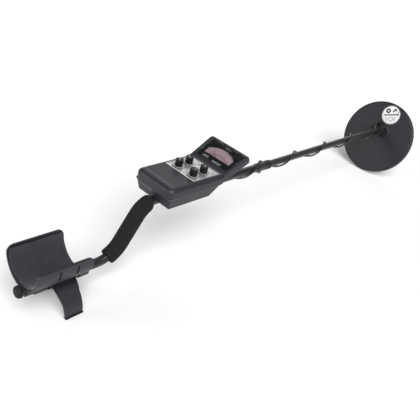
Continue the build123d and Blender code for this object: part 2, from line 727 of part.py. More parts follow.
def ground_under(turn):
    return (turn * Pos(stand_mid_x, 0, foot_low_z) * Vertex(0, 0, 0)).center().Z


pitch = 0.0
for _ in range(4):
    turn = Rot(0, pitch, 0)
    coil_low = min((turn * nodes[name]).bounding_box().min.Z for name in ("coil_top_shell", "coil_cover"))
    pitch += math.degrees(math.atan2(coil_low - ground_under(turn), hinge_x - stand_mid_x))
level = Rot(0, pitch, 0)
below = Pos(0, 0, ground_under(level) - 100) * Box(3000, 800, 200)
ground = level.inverse() * below
nodes["stand"] = stand() - level.inverse() * Pos(0, 0, foot_sole) * below
nodes["stand_feet"] = group([stand_foot(side) - nodes["stand"] - ground for side in (1, -1)])

stood = {name: level * shape for name, shape in nodes.items()}
boxes = [shape.bounding_box() for shape in stood.values()]
low_x, high_x = min(box.min.X for box in boxes), max(box.max.X for box in boxes)
shift = Pos(-(low_x + high_x) / 2, 0, -min(box.min.Z for box in boxes))
print("pitch %.4f shift x %.4f z %.4f" % (pitch, shift.position.X, shift.position.Z))
for name, shape in stood.items():
    export_step(shift * shape, "parts/%s.step" % name)
print(len(stood), "nodes")
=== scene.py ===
import bpy
import json
import math
from mathutils import Matrix, Vector


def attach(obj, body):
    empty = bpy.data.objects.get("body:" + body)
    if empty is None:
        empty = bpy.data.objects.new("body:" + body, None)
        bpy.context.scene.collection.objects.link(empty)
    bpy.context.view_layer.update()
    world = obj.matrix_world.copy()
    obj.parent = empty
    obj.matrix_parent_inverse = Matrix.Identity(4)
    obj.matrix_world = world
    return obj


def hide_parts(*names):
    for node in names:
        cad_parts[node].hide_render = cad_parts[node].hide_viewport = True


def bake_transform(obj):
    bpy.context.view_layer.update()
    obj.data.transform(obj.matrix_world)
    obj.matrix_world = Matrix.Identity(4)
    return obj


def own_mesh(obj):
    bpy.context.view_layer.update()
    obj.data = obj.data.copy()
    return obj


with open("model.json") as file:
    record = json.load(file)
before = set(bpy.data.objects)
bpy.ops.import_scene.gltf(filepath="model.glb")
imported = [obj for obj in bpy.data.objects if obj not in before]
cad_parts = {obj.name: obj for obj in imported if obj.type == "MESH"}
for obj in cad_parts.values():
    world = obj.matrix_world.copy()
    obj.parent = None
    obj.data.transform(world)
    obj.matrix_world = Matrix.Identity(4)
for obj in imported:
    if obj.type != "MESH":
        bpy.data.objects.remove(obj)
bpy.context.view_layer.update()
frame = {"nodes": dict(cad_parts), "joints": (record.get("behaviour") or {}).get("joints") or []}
print("frame loaded:", len(frame["nodes"]), "nodes")

joints = {j["name"]: j for j in frame["joints"]}

# The stem's own frame: X along the straight stem, Y left, Z up, origin on its axis.
stemDesign = {"hingeX": 0.630}
stemAxis = Vector(joints["stem_slide"]["axis"]).normalized()
sideAxis = Vector((0, 1, 0))
upAxis = stemAxis.cross(sideAxis).normalized()
hingePlace = Vector(joints["coil_tilt"]["pos_m"])
stemOrigin = hingePlace - stemAxis * stemDesign["hingeX"]


def axesMatrix(x, y, z, origin):
    m = Matrix((x, y, z)).transposed().to_4x4()
    m.translation = origin
    return m


stem = axesMatrix(stemAxis, sideAxis, upAxis, stemOrigin)

# The tilted display face and the coil's middle plane, in the stem's frame.
faceLow, faceHigh = Vector((-0.1046, 0, 0.0483)), Vector((-0.0432, 0, 0.0773))
faceTilt = math.atan2(faceHigh.z - faceLow.z, faceHigh.x - faceLow.x)
onFace = stem @ Matrix.Translation((faceLow + faceHigh) / 2) @ Matrix.Rotation(-faceTilt, 4, "Y")
coilDesign = {"lean": math.radians(70.9), "up": 0.0233, "forward": 0.017, "top": 0.006}
coilTurn = Matrix.Rotation(-coilDesign["lean"], 4, "Y")
onCoil = (stem @ Matrix.Translation((stemDesign["hingeX"], 0, 0)) @ coilTurn
          @ Matrix.Translation((-coilDesign["forward"], 0, -coilDesign["up"])))


# modelling helpers
def deselectAll():
    if bpy.context.object and bpy.context.object.mode != "OBJECT":
        bpy.ops.object.mode_set(mode="OBJECT")
    bpy.ops.object.select_all(action="DESELECT")


def takeNew(name):
    piece = bpy.context.object
    piece.name = name
    piece.data.name = name
    return piece


def makeActive(piece):
    deselectAll()
    piece.select_set(True)
    bpy.context.view_layer.objects.active = piece


def pick(piece, test, kind="FACE"):
    makeActive(piece)
    mesh = piece.data
    for group in (mesh.vertices, mesh.edges, mesh.polygons):
        for item in group:
            item.select = False
    if kind == "FACE":
        for face in mesh.polygons:
            face.select = bool(test(face.center, face.normal))
    if kind == "EDGE":
        for edge in mesh.edges:
            a, b = (mesh.vertices[i].co for i in edge.vertices)
            edge.select = bool(test(a, b))
    if kind == "VERT":
        for vertex in mesh.vertices:
            vertex.select = bool(test(vertex.co))
    bpy.ops.object.mode_set(mode="EDIT")
    bpy.ops.mesh.select_mode(type=kind)


def backToObject():
    bpy.ops.object.mode_set(mode="OBJECT")


def finishWith(piece, kind, **settings):
    makeActive(piece)
    modifier = piece.modifiers.new(kind.title(), kind)
    for key, value in settings.items():
        setattr(modifier, key, value)
    bpy.ops.object.modifier_apply(modifier=modifier.name)


def smooth(piece, angle=35):
    makeActive(piece)
    bpy.ops.object.shade_smooth_by_angle(angle=math.radians(angle))


def place(piece, matrix):
    piece.data.transform(matrix @ piece.matrix_basis)
    piece.matrix_basis = Matrix.Identity(4)
    piece.data.update()


def joinAll(pieces, name):
    makeActive(pieces[0])
    for piece in pieces:
        piece.select_set(True)
    bpy.ops.object.join()
    return takeNew(name)


def addCylinder(name, radius, depth, at, sides):
    deselectAll()
    bpy.ops.mesh.primitive_cylinder_add(vertices=sides, radius=radius, depth=depth, location=at)
    return takeNew(name)


def addBox(name, size, at):
    deselectAll()
    bpy.ops.mesh.primitive_cube_add(size=1, location=at, scale=size)
    piece = takeNew(name)
    bpy.ops.object.transform_apply(location=False, rotation=True, scale=True)
    return piece


def wear(piece, body, material):
    piece.data.materials.clear()
    piece.data.materials.append(material)
    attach(piece, body)


# shared material effects
def newGroup(name, inputs, outputs):
    group = bpy.data.node_groups.new(name, "ShaderNodeTree")
    for label, kind in inputs:
        group.interface.new_socket(name=label, in_out="INPUT", socket_type=kind)
    for label, kind in outputs:
        group.interface.new_socket(name=label, in_out="OUTPUT", socket_type=kind)
    nodes = group.nodes
    return group, nodes.new("NodeGroupInput"), nodes.new("NodeGroupOutput")


def node(tree, kind, **settings):
    made = tree.nodes.new(kind)
    for key, value in settings.items():
        if key in made.inputs:
            made.inputs[key].default_value = value
        else:
            setattr(made, key, value)
    return made


def buildMouldedGrain():
    group, inputs, outputs = newGroup(
        "MouldedGrain",
        [("Vector", "NodeSocketVector"), ("Grain Scale", "NodeSocketFloat"),
         ("Mottle Scale", "NodeSocketFloat")],
        [("Grain", "NodeSocketFloat"), ("Mottle", "NodeSocketFloat")])
    grain = node(group, "ShaderNodeTexNoise", Detail=3.0, Roughness=0.6)
    mottle = node(group, "ShaderNodeTexNoise", Detail=4.0, Roughness=0.55)
    links = group.links
    links.new(inputs.outputs["Vector"], grain.inputs["Vector"])
    links.new(inputs.outputs["Grain Scale"], grain.inputs["Scale"])
    links.new(inputs.outputs["Vector"], mottle.inputs["Vector"])
    links.new(inputs.outputs["Mottle Scale"], mottle.inputs["Scale"])
    links.new(grain.outputs["Fac"], outputs.inputs["Grain"])
    links.new(mottle.outputs["Fac"], outputs.inputs["Mottle"])
    return group


def buildScuffs():
    group, inputs, outputs = newGroup(
        "Scuffs",
        [("Vector", "NodeSocketVector"), ("Scale", "NodeSocketFloat"), ("Amount", "NodeSocketFloat")],
        [("Mask", "NodeSocketFloat")])
    links = group.links
    stretch = node(group, "ShaderNodeMapping")
    stretch.inputs["Scale"].default_value = (0.35, 2.2, 2.2)
    patches = node(group, "ShaderNodeTexNoise", Detail=6.0, Roughness=0.7)
    lines = node(group, "ShaderNodeTexNoise", Detail=8.0, Roughness=0.75)
    times = node(group, "ShaderNodeMath", operation="MULTIPLY")
    lines.inputs["Scale"].default_value = 60.0
    links.new(inputs.outputs["Vector"], stretch.inputs["Vector"])
    links.new(stretch.outputs["Vector"], lines.inputs["Vector"])
    links.new(inputs.outputs["Vector"], patches.inputs["Vector"])
    links.new(inputs.outputs["Scale"], patches.inputs["Scale"])
    cut = node(group, "ShaderNodeMapRange")
    cut.inputs["From Min"].default_value = 0.34
    cut.inputs["From Max"].default_value = 0.52
    links.new(patches.outputs["Fac"], times.inputs[0])
    links.new(lines.outputs["Fac"], times.inputs[1])
    links.new(times.outputs["Value"], cut.inputs["Value"])
    scaled = node(group, "ShaderNodeMath", operation="MULTIPLY")
    links.new(cut.outputs["Result"], scaled.inputs[0])
    links.new(inputs.outputs["Amount"], scaled.inputs[1])
    links.new(scaled.outputs["Value"], outputs.inputs["Mask"])
    return group


mouldedGrain = buildMouldedGrain()
scuffs = buildScuffs()


def newMaterial(name):
    material = bpy.data.materials.new(name)
    material.use_nodes = True
    tree = material.node_tree
    shader = tree.nodes["Principled BSDF"]
    where = tree.nodes.new("ShaderNodeTexCoord")
    return material, tree, shader, where


def shade(colour, factor):
    return tuple(min(1.0, c * factor) for c in colour[:3]) + (1.0,)


def surfaceMaterial(name, colour, rough=0.5, metallic=0.0, grainScale=1400.0, grainDepth=0.00004,
                    mottleScale=14.0, contrast=0.16, scuffAmount=0.25, scuffTint=1.8, coat=0.0, specular=0.5):
    material, tree, shader, where = newMaterial(name)
    links = tree.links
    grain = node(tree, "ShaderNodeGroup")
    grain.node_tree = mouldedGrain
    grain.inputs["Grain Scale"].default_value = grainScale
    grain.inputs["Mottle Scale"].default_value = mottleScale
    links.new(where.outputs["Object"], grain.inputs["Vector"])
    marks = node(tree, "ShaderNodeGroup")
    marks.node_tree = scuffs
    marks.inputs["Scale"].default_value = 9.0
    marks.inputs["Amount"].default_value = scuffAmount
    links.new(where.outputs["Object"], marks.inputs["Vector"])
    tone = node(tree, "ShaderNodeMix", data_type="RGBA")
    tone.inputs[6].default_value = shade(colour, 1.0 - contrast)
    tone.inputs[7].default_value = shade(colour, 1.0 + contrast)
    links.new(grain.outputs["Mottle"], tone.inputs[0])
    worn = node(tree, "ShaderNodeMix", data_type="RGBA")
    worn.inputs[7].default_value = shade(colour, scuffTint)
    links.new(marks.outputs["Mask"], worn.inputs[0])
    links.new(tone.outputs[2], worn.inputs[6])
    links.new(worn.outputs[2], shader.inputs["Base Color"])
    gloss = node(tree, "ShaderNodeMapRange")
    gloss.inputs["To Min"].default_value = rough - 0.06
    gloss.inputs["To Max"].default_value = rough + 0.08
    links.new(grain.outputs["Mottle"], gloss.inputs["Value"])
    rubbed = node(tree, "ShaderNodeMath", operation="MULTIPLY_ADD")
    rubbed.inputs[1].default_value = -0.12
    links.new(marks.outputs["Mask"], rubbed.inputs[0])
    links.new(gloss.outputs["Result"], rubbed.inputs[2])
    links.new(rubbed.outputs["Value"], shader.inputs["Roughness"])
    bump = node(tree, "ShaderNodeBump")
    bump.inputs["Distance"].default_value = grainDepth
    bump.inputs["Strength"].default_value = 0.8
    links.new(grain.outputs["Grain"], bump.inputs["Height"])
    links.new(bump.outputs["Normal"], shader.inputs["Normal"])
    shader.inputs["Metallic"].default_value = metallic
    shader.inputs["Coat Weight"].default_value = coat
    shader.inputs["Specular IOR Level"].default_value = specular
    return material


def foamMaterial(name, colour):
    material, tree, shader, where = newMaterial(name)
    links = tree.links
    pores = node(tree, "ShaderNodeTexVoronoi", Scale=700.0)
    fine = node(tree, "ShaderNodeTexNoise", Scale=2400.0, Detail=2.0)
    mottle = node(tree, "ShaderNodeTexNoise", Scale=40.0, Detail=4.0)
    for texture in (pores, fine, mottle):
        links.new(where.outputs["Object"], texture.inputs["Vector"])
    tone = node(tree, "ShaderNodeMix", data_type="RGBA")
    tone.inputs[6].default_value = shade(colour, 0.75)
    tone.inputs[7].default_value = shade(colour, 1.5)
    links.new(mottle.outputs["Fac"], tone.inputs[0])
    links.new(tone.outputs[2], shader.inputs["Base Color"])
    height = node(tree, "ShaderNodeMath", operation="MULTIPLY_ADD")
    height.inputs[1].default_value = 0.35
    links.new(fine.outputs["Fac"], height.inputs[0])
    links.new(pores.outputs["Distance"], height.inputs[2])
    bump = node(tree, "ShaderNodeBump")
    bump.inputs["Distance"].default_value = 0.00025
    bump.inputs["Strength"].default_value = 0.9
    links.new(height.outputs["Value"], bump.inputs["Height"])
    links.new(bump.outputs["Normal"], shader.inputs["Normal"])
    dull = node(tree, "ShaderNodeMapRange")
    dull.inputs["To Min"].default_value = 0.78
    dull.inputs["To Max"].default_value = 0.95
    links.new(fine.outputs["Fac"], dull.inputs["Value"])
    links.new(dull.outputs["Result"], shader.inputs["Roughness"])
    shader.inputs["Specular IOR Level"].default_value = 0.3
    return material


def clothMaterial(name, colour, threads=240.0):
    material, tree, shader, where = newMaterial(name)
    links = tree.links
    warp = node(tree, "ShaderNodeTexWave", bands_direction="X", Scale=threads, Distortion=0.4)
    weft = node(tree, "ShaderNodeTexWave", bands_direction="DIAGONAL", Scale=threads, Distortion=0.4)
    for texture in (warp, weft):
        links.new(where.outputs["Object"], texture.inputs["Vector"])
    weave = node(tree, "ShaderNodeMath", operation="MAXIMUM")
    links.new(warp.outputs["Fac"], weave.inputs[0])
    links.new(weft.outputs["Fac"], weave.inputs[1])
    fuzz = node(tree, "ShaderNodeTexNoise", Scale=60.0, Detail=6.0)
    links.new(where.outputs["Object"], fuzz.inputs["Vector"])
    blend = node(tree, "ShaderNodeMath", operation="MULTIPLY_ADD")
    blend.inputs[1].default_value = 0.45
    links.new(weave.outputs["Value"], blend.inputs[0])
    links.new(fuzz.outputs["Fac"], blend.inputs[2])
    tone = node(tree, "ShaderNodeMix", data_type="RGBA")
    tone.inputs[6].default_value = shade(colour, 0.35)
    tone.inputs[7].default_value = shade(colour, 1.6)
    links.new(blend.outputs["Value"], tone.inputs[0])
    links.new(tone.outputs[2], shader.inputs["Base Color"])
    bump = node(tree, "ShaderNodeBump")
    bump.inputs["Distance"].default_value = 0.00025
    bump.inputs["Strength"].default_value = 0.7
    links.new(weave.outputs["Value"], bump.inputs["Height"])
    links.new(bump.outputs["Normal"], shader.inputs["Normal"])
    shader.inputs["Roughness"].default_value = 0.9
    shader.inputs["Sheen Weight"].default_value = 0.3
    shader.inputs["Sheen Roughness"].default_value = 0.5
    return material


def brushedMaterial(name, colour, rough=0.32, along=(1.0, 60.0, 60.0)):
    material, tree, shader, where = newMaterial(name)
    links = tree.links
    stretch = node(tree, "ShaderNodeMapping")
    stretch.inputs["Scale"].default_value = along
    streaks = node(tree, "ShaderNodeTexNoise", Scale=40.0, Detail=8.0, Roughness=0.7)
    links.new(where.outputs["Object"], stretch.inputs["Vector"])
    links.new(stretch.outputs["Vector"], streaks.inputs["Vector"])
    tone = node(tree, "ShaderNodeMix", data_type="RGBA")
    tone.inputs[6].default_value = shade(colour, 0.86)
    tone.inputs[7].default_value = shade(colour, 1.12)
    links.new(streaks.outputs["Fac"], tone.inputs[0])
    links.new(tone.outputs[2], shader.inputs["Base Color"])
    gloss = node(tree, "ShaderNodeMapRange")
    gloss.inputs["To Min"].default_value = rough - 0.08
    gloss.inputs["To Max"].default_value = rough + 0.12
    links.new(streaks.outputs["Fac"], gloss.inputs["Value"])
    links.new(gloss.outputs["Result"], shader.inputs["Roughness"])
    bump = node(tree, "ShaderNodeBump")
    bump.inputs["Distance"].default_value = 0.00002
    links.new(streaks.outputs["Fac"], bump.inputs["Height"])
    links.new(bump.outputs["Normal"], shader.inputs["Normal"])
    shader.inputs["Metallic"].default_value = 0.75
    return material


def windowMaterial(name):
    material, tree, shader, where = newMaterial(name)
    links = tree.links
    smear = node(tree, "ShaderNodeTexNoise", Scale=30.0, Detail=5.0)
    links.new(where.outputs["Object"], smear.inputs["Vector"])
    gloss = node(tree, "ShaderNodeMapRange")
    gloss.inputs["To Min"].default_value = 0.02
    gloss.inputs["To Max"].default_value = 0.1
    links.new(smear.outputs["Fac"], gloss.inputs["Value"])
    links.new(gloss.outputs["Result"], shader.inputs["Roughness"])
    shader.inputs["Base Color"].default_value = (0.93, 0.95, 0.95, 1)
    shader.inputs["Transmission Weight"].default_value = 1.0
    shader.inputs["IOR"].default_value = 1.28
    return material


casePlastic = surfaceMaterial("CasePlastic", (0.0185, 0.0180, 0.0240), rough=0.46, grainScale=1500,
                              grainDepth=0.00006, scuffAmount=0.4, scuffTint=2.2, specular=0.45)
# painted highlight: a lighter plastic standing in for the light caught along edges, ridges and the seam bead
edgeHighlight = surfaceMaterial("PaintedEdgeHighlight", (0.078, 0.077, 0.088), rough=0.42, grainScale=1500, grainDepth=0.00004,
                           scuffAmount=0.5, scuffTint=2.0)
cupPlastic = surfaceMaterial("CupPlastic", (0.0150, 0.0136, 0.0195), rough=0.46, grainScale=1300,
                             scuffAmount=0.55, scuffTint=2.4, specular=0.45)
stemPaint = surfaceMaterial("StemPaint", (0.0145, 0.0138, 0.0160), rough=0.3, grainScale=900,
                            grainDepth=0.00003)
lowerPlastic = surfaceMaterial("LowerStemPlastic", (0.0180, 0.0186, 0.0184), rough=0.36, grainScale=1100)
coilPlastic = surfaceMaterial("CoilPlastic", (0.0125, 0.0119, 0.0165), rough=0.5, grainScale=1200,
                              contrast=0.14, scuffAmount=0.35, specular=0.4)
nylon = surfaceMaterial("Nylon", (0.012, 0.012, 0.013), rough=0.45, specular=0.4)
rubber = surfaceMaterial("Rubber", (0.0085, 0.0080, 0.0098), rough=0.7, scuffAmount=0.15, specular=0.3)
knobPlastic = surfaceMaterial("KnobPlastic", (0.0040, 0.0030, 0.0042), rough=0.42, scuffAmount=0.2,
                              specular=0.25)
cableJacket = surfaceMaterial("CableJacket", (0.012, 0.012, 0.013), rough=0.26, grainScale=2500, contrast=0.1)
maskInk = surfaceMaterial("MaskInk", (0.002, 0.002, 0.0024), rough=0.5, grainDepth=0.00001, scuffAmount=0.1,
                          specular=0.1)
whiteInk = surfaceMaterial("WhiteInk", (0.85, 0.85, 0.86), rough=0.45, contrast=0.04, scuffAmount=0.0)
greyInk = surfaceMaterial("GreyInk", (0.33, 0.34, 0.33), rough=0.45, contrast=0.08, scuffAmount=0.0)
darkInk = surfaceMaterial("DarkInk", (0.02, 0.02, 0.022), rough=0.5, contrast=0.1, scuffAmount=0.0)
redInk = surfaceMaterial("RedInk", (0.16, 0.022, 0.042), rough=0.5, contrast=0.1, scuffAmount=0.0)
dialCard = surfaceMaterial("DialCard", (0.42, 0.30, 0.34), rough=0.6, contrast=0.06, scuffAmount=0.0,
                           grainScale=3000)
labelVinyl = surfaceMaterial("LabelVinyl", (0.74, 0.74, 0.75), rough=0.4, contrast=0.03, scuffAmount=0.05,
                             scuffTint=0.8)
foam = foamMaterial("GripFoam", (0.0065, 0.0065, 0.008))
padCloth = clothMaterial("PadCloth", (0.0150, 0.0138, 0.0185))
panelFoil = brushedMaterial("PanelFoil", (0.60, 0.57, 0.60), rough=0.38)
steel = brushedMaterial("Steel", (0.56, 0.56, 0.58), rough=0.3)
copper = surfaceMaterial("Copper", (0.45, 0.2, 0.09), rough=0.35, metallic=0.9)
boardGreen = surfaceMaterial("BoardGreen", (0.02, 0.12, 0.05), rough=0.35)
cellJacket = surfaceMaterial("CellJacket", (0.08, 0.10, 0.16), rough=0.35)
window = windowMaterial("Window")
print("materials made")

dressing = {
    "case_top": casePlastic, "case_bottom": casePlastic, "battery_door": casePlastic, "arm_cup": cupPlastic,
    "stand": cupPlastic, "upper_stem": stemPaint, "lower_stem": lowerPlastic, "coil_top_shell": coilPlastic,
    "coil_cover": coilPlastic, "stem_sleeve": lowerPlastic, "lock_collar": nylon, "lock_collet": nylon,
    "stem_tip": nylon, "wing_nut": nylon, "hinge_bolt": nylon, "headphone_jack": nylon, "battery_tray": nylon,
    "meter_housing": nylon, "stem_end_cap": rubber, "stand_feet": rubber, "hinge_washers": rubber,
    "cable_gland": rubber, "coil_gland": rubber, "control_panel": panelFoil, "potentiometers": steel,
    "pot_nuts": steel, "case_screws": steel, "case_bolts": steel, "cup_bolts": steel, "cup_nuts": steel,
    "button_spring": steel, "stem_button": steel, "speaker": steel, "meter_movement": steel,
    "transmit_winding": copper, "receive_winding": copper, "circuit_board": boardGreen,
    "batteries": cellJacket,
    "meter_mask": maskInk, "meter_dial": dialCard, "meter_needle": redInk, "meter_window": window,
    "coil_label": labelVinyl, "arm_cup_pad": padCloth, "grip_foam": foam, "coil_cable": cableJacket,
    "cable_tail": cableJacket,
}
for number in range(1, 5):
    dressing["knob_%d" % number] = knobPlastic
    dressing["knob_shaft_%d" % number] = steel
for name, cadNode in frame["nodes"].items():
    cadNode.data.materials.clear()
    cadNode.data.materials.append(dressing[name])


# camera, light, floor
cameraDesign = {"azimuth": -52.121, "elevation": 30.638, "roll": 13.427, "lens": 49.01,
                "at": (-0.909545, -0.660246, 0.561457)}


def buildCamera(design):
    a, e, r = (math.radians(design[k]) for k in ("azimuth", "elevation", "roll"))
    back = Vector((math.sin(a) * math.cos(e), -math.cos(a) * math.cos(e), math.sin(e)))
    level = Vector((math.cos(a), math.sin(a), 0))
    upright = back.cross(level)
    right = level * math.cos(r) + upright * math.sin(r)
    up = back.cross(right)
    deselectAll()
    bpy.ops.object.camera_add()
    camera = bpy.context.object
    camera.data.lens = design["lens"]
    camera.data.sensor_width = 36.0
    camera.data.clip_start = 0.01
    camera.matrix_world = stem @ axesMatrix(right, up, back, Vector(design["at"]))
    bpy.context.scene.camera = camera


studioDesign = {"floor": 14.0, "seen": 1.0, "glow": 0.24, "sun": (-0.35, -0.65, 0.80), "sunPower": 3.3,
                "sunWidth": 55.0, "lamps": [((2.6, 1.9, 1.7), 2.6, 22), ((-2.8, 1.6, 1.2), 1.2, 26)]}


def buildStudio(design):
    deselectAll()
    bpy.ops.mesh.primitive_plane_add(size=design["floor"], location=(0, 0, -0.0005))
    floor = takeNew("StudioFloor")
    pale = surfaceMaterial("FloorPaint", (0.95, 0.95, 0.95), rough=0.8, contrast=0.01, scuffAmount=0.0)
    floor.data.materials.append(pale)
    world = bpy.data.worlds.new("Studio")
    bpy.context.scene.world = world
    world.use_nodes = True
    tree = world.node_tree
    glow = tree.nodes["Background"]
    glow.inputs["Strength"].default_value = design["glow"]
    seen = node(tree, "ShaderNodeBackground", Strength=design["seen"])
    for background in (glow, seen):
        background.inputs["Color"].default_value = (1, 1, 1, 1)
    rays = node(tree, "ShaderNodeLightPath")
    choose = node(tree, "ShaderNodeMixShader")
    tree.links.new(rays.outputs["Is Camera Ray"], choose.inputs["Fac"])
    tree.links.new(glow.outputs["Background"], choose.inputs[1])
    tree.links.new(seen.outputs["Background"], choose.inputs[2])
    tree.links.new(choose.outputs["Shader"], tree.nodes["World Output"].inputs["Surface"])
    for at, size, power in design["lamps"]:
        deselectAll()
        bpy.ops.object.light_add(type="AREA", location=at)
        lamp = bpy.context.object
        lamp.data.size = size
        lamp.data.energy = power
        lamp.rotation_euler = (Vector((0, 0, 0.1)) - Vector(at)).to_track_quat("-Z", "Y").to_euler()
    deselectAll()
    bpy.ops.object.light_add(type="SUN", location=design["sun"])
    sun = bpy.context.object
    sun.data.energy = design["sunPower"]
    sun.data.angle = math.radians(design["sunWidth"])
    sun.rotation_euler = Vector(design["sun"]).to_track_quat("Z", "Y").to_euler()
    bpy.context.scene.view_settings.view_transform = "Standard"


buildCamera(cameraDesign)
buildStudio(studioDesign)
print("camera and studio ready")


# cable along the stem
cableDesign = {"diameter": 0.0045, "pitch": 0.133, "radius": 0.0121, "over": 0.0013, "phaseX": 0.074,
               "turns": 4, "steps": 12, "glandAt": (-0.088, 0.0395), "glandLean": math.atan2(12, 25),
               "glandReach": 0.01402, "wrapsFrom": 0.048, "collarFrom": 0.056, "collarTo": 0.127,
               "stretchFrom": 0.112, "stretchTo": 0.60}


def wrapPoint(x):
    turn = 2 * math.pi * (x - cableDesign["phaseX"]) / cableDesign["pitch"]
    onCollar = cableDesign["collarFrom"] < x < cableDesign["collarTo"]
    radius = cableDesign["radius"] + (cableDesign["over"] if onCollar else 0.0)
    return Vector((x, radius * math.sin(turn), radius * math.cos(turn)))


def cableRoute():
    lean, reach = cableDesign["glandLean"], cableDesign["glandReach"]
    out = Vector((math.sin(lean), 0, -math.cos(lean)))
    start = Vector((cableDesign["glandAt"][0], 0, cableDesign["glandAt"][1])) + out * reach
    route = [start, start + out * 0.006, Vector((-0.0734, -0.0003, 0.0162)),
             Vector((-0.0653, 0, 0.0133)), Vector((-0.0566, 0.0014, 0.0124))]
    end = cableDesign["phaseX"] + cableDesign["turns"] * cableDesign["pitch"]
    step = cableDesign["pitch"] / cableDesign["steps"]
    count = int((end + cableDesign["wrapsFrom"]) / step)
    return [stem @ p for p in route + [wrapPoint(end - step * (count - k)) for k in range(count + 1)]]


def tailRoute():
    end = cableDesign["phaseX"] + cableDesign["turns"] * cableDesign["pitch"]
    before, start = wrapPoint(end - cableDesign["pitch"] / cableDesign["steps"]), wrapPoint(end)
    gland = coilLead["at"]
    above = onCoil @ Vector((gland[0], gland[1], coilDesign["top"] + coilLead["height"] + 0.011))
    top = onCoil @ Vector((gland[0], gland[1], coilDesign["top"] + coilLead["height"]))
    return [stem @ start, stem @ (start + (start - before) * 0.9), above, top]


def cordCurve(name, route, thickness):
    data = bpy.data.curves.new(name, "CURVE")
    data.dimensions = "3D"
    spline = data.splines.new("NURBS")
    spline.points.add(len(route) - 1)
    for point, place in zip(spline.points, route):
        point.co = (*place, 1.0)
    spline.order_u = 3
    spline.use_endpoint_u = True
    spline.resolution_u = 6
    data.bevel_depth = thickness / 2
    data.bevel_resolution = 3
    data.use_fill_caps = True
    curve = bpy.data.objects.new(name, data)
    bpy.context.scene.collection.objects.link(curve)
    return curve


def cordMesh(name, route, thickness):
    centre = cordCurve(name + "_line", route, 0.0)
    line = bpy.data.meshes.new_from_object(centre)
    path = [tuple(v.co) for v in line.vertices]
    bpy.data.objects.remove(centre)
    bpy.data.meshes.remove(line)
    curve = cordCurve(name, route, thickness)
    makeActive(curve)
    bpy.ops.object.convert(target="MESH")
    cord = takeNew(name)
    bpy.ops.object.shade_smooth()
    return cord, path


coilLead = {"at": (0.038, 0.010), "height": 0.015}
cable, cablePath = cordMesh("lead_wrapped", cableRoute(), cableDesign["diameter"])
cable.data.materials.append(cableJacket)
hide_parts("coil_cable")
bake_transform(cable)
tail, tailPath = cordMesh("lead_tail", tailRoute(), cableDesign["diameter"])
tail.data.materials.append(cableJacket)
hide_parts("cable_tail")
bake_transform(tail)


# ribbed strain reliefs
reliefDesign = {"rings": 4, "grow": 1.22, "base": 0.0052, "tip": 0.0030, "length": 0.0108}


def buildRelief(name, matrix, body, node):
    design = reliefDesign
    deselectAll()
    bpy.ops.mesh.primitive_cone_add(vertices=32, radius1=design["base"], radius2=design["tip"],
                                    depth=design["length"], location=(0, 0, design["length"] / 2))
    relief = takeNew(name)
    bpy.ops.object.transform_apply(location=True)
    cuts = design["rings"] * 2 + 1
    for k in range(1, cuts):                           # cut across, then swell every second ring
        pick(relief, lambda centre, normal: True)
        bpy.ops.mesh.bisect(plane_co=(0, 0, design["length"] * k / cuts), plane_no=(0, 0, 1))
        backToObject()
    for k in range(1, cuts, 2):
        height = design["length"] * k / cuts
        pick(relief, lambda v: abs(v.z - height) < 1e-5, "VERT")
        bpy.ops.transform.resize(value=(design["grow"], design["grow"], 1))
        backToObject()
    finishWith(relief, "BEVEL", width=0.00025, segments=2)
    smooth(relief, 40)
    place(relief, matrix)
    wear(relief, body, rubber)


coilGlandTop = onCoil @ Matrix.Translation((coilLead["at"][0], coilLead["at"][1], coilDesign["top"] + 0.004))
buildRelief("lead_relief_coil", coilGlandTop, "coil_body", "coil_gland")
print("strain reliefs made")


# knobs
knobDesign = {"radius": 0.0075, "height": 0.0132, "low": 0.0487, "ribs": 20, "ribOut": 0.00045,
              "skirtRadius": 0.0079, "skirtHeight": 0.0012, "skirtLift": 0.0001, "skirtEdge": 0.0006,
              "rim": 0.0011, "rimDip": 0.0002, "topStep": 0.0002, "topDip": 0.0005, "topEdge": 0.00025,
              "pointerWidth": 0.0011, "pointerThick": 0.0004, "capLength": 0.0052, "dropLength": 0.0085,
              "at": [(x, y) for x in (-0.165, -0.137) for y in (0.021, -0.021)],
              "setTo": (38, -20, 64, 12)}


def buildKnobShape():
    design = knobDesign
    sides = design["ribs"] * 3
    grip = addCylinder("knob_grip", design["radius"], design["height"], (0, 0, design["height"] / 2), sides)
    bpy.ops.object.transform_apply(location=True)

    def onRib(centre, normal):
        turn = math.degrees(math.atan2(centre.y, centre.x)) % 360
        return abs(normal.z) < 0.1 and round(turn / 360 * sides - 0.5) % 3 != 0

    pick(grip, onRib)
    bpy.ops.mesh.inset(thickness=0.0, depth=design["ribOut"])
    backToObject()
    pick(grip, lambda centre, normal: normal.z > 0.9)
    bpy.ops.mesh.inset(thickness=design["rim"], depth=-design["rimDip"])
    bpy.ops.mesh.inset(thickness=design["topStep"], depth=-design["topDip"])
    backToObject()
    top = design["height"]
    pick(grip, lambda a, b: min(a.z, b.z) > top - 0.00005, "EDGE")
    bpy.ops.mesh.bevel(offset=design["topEdge"], segments=2)
    backToObject()
    skirt = addCylinder("knob_skirt", design["skirtRadius"], design["skirtHeight"],
                        (0, 0, design["skirtHeight"] / 2 + design["skirtLift"]), 60)
    bpy.ops.object.transform_apply(location=True)
    pick(skirt, lambda a, b: min(a.z, b.z) > design["skirtHeight"] - 0.0002, "EDGE")
    bpy.ops.mesh.bevel(offset=design["skirtEdge"], segments=3)
    backToObject()
    return joinAll([grip, skirt], "knob_shape")


def buildPointer():
    design = knobDesign
    width, thick, top = design["pointerWidth"], design["pointerThick"], design["height"]
    cap = addBox("pointer_cap", (design["capLength"], width, thick), (0.0036, 0, top - thick))
    drop = addBox("pointer_drop", (thick, width, design["dropLength"]),
                  (design["radius"] + thick, 0, top - 0.0046))
    for bar in (cap, drop):
        makeActive(bar)
        bpy.ops.object.transform_apply(location=True)
    return joinAll([cap, drop], "pointer_shape")


